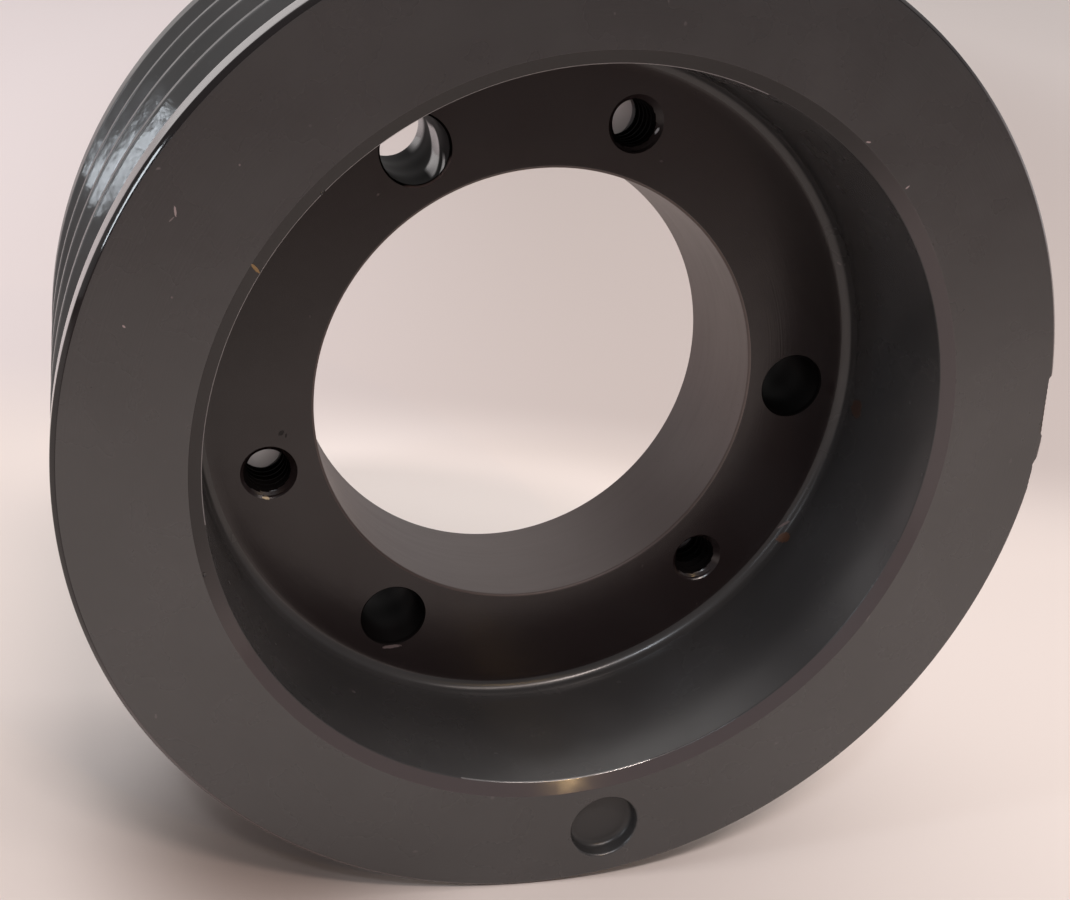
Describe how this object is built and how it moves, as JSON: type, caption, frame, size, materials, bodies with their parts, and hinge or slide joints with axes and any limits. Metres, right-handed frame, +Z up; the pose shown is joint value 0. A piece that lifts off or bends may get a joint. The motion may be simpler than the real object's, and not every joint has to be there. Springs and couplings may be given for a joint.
{
  "type": "v-belt pulley",
  "caption": "Multi-groove narrow V-belt sheave of painted cast iron, with a recessed web, taper-bored hub, drilled and tapped bolt holes and a balance hole.",
  "frame": {"origin": "middle of the wheel: on the axle, halfway between the two rim faces", "axes": "Y is the axle; -Y is the side with the deep recess, where the large end of the taper bore opens and the bushing goes in; +Z up, with a drilled hole near +X"},
  "size_m": [0.1142, 0.0484, 0.1142],
  "materials": {
    "painted_iron": "satin, near-black air-dried enamel over grey-iron castings and turned faces"
  },
  "bodies": {
    "root": {"front_flange": "painted_iron", "rim": "painted_iron", "groove_land_1": "painted_iron", "groove_land_2": "painted_iron", "groove_land_3": "painted_iron", "rear_flange": "painted_iron", "web": "painted_iron", "hub": "painted_iron"}
  },
  "joints": []
}
